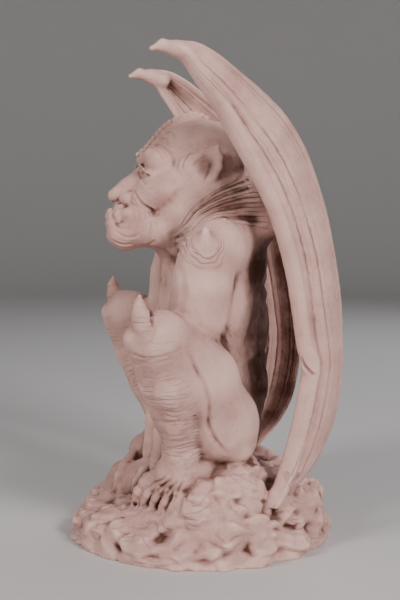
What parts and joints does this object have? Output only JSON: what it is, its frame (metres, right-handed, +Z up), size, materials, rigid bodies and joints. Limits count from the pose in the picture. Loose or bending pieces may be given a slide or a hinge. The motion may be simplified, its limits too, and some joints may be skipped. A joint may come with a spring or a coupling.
{
  "type": "stone gargoyle",
  "caption": "Crouching winged gargoyle carved on a craggy round rock, with a beaked nose, pointed ears, horned knees and tall ribbed wings; stands on its flat underside.",
  "frame": {"origin": "centre of the flat underside of the rock, on the surface it stands on", "axes": "+Z up through the figure, the figure faces -Y, its left wing is at +X"},
  "size_m": [0.2476, 0.2462, 0.45],
  "materials": {
    "stone": "matte pale pinkish-beige cast stone with red-brown stain in the recesses"
  },
  "bodies": {
    "root": {"gargoyle": "stone"}
  },
  "joints": []
}
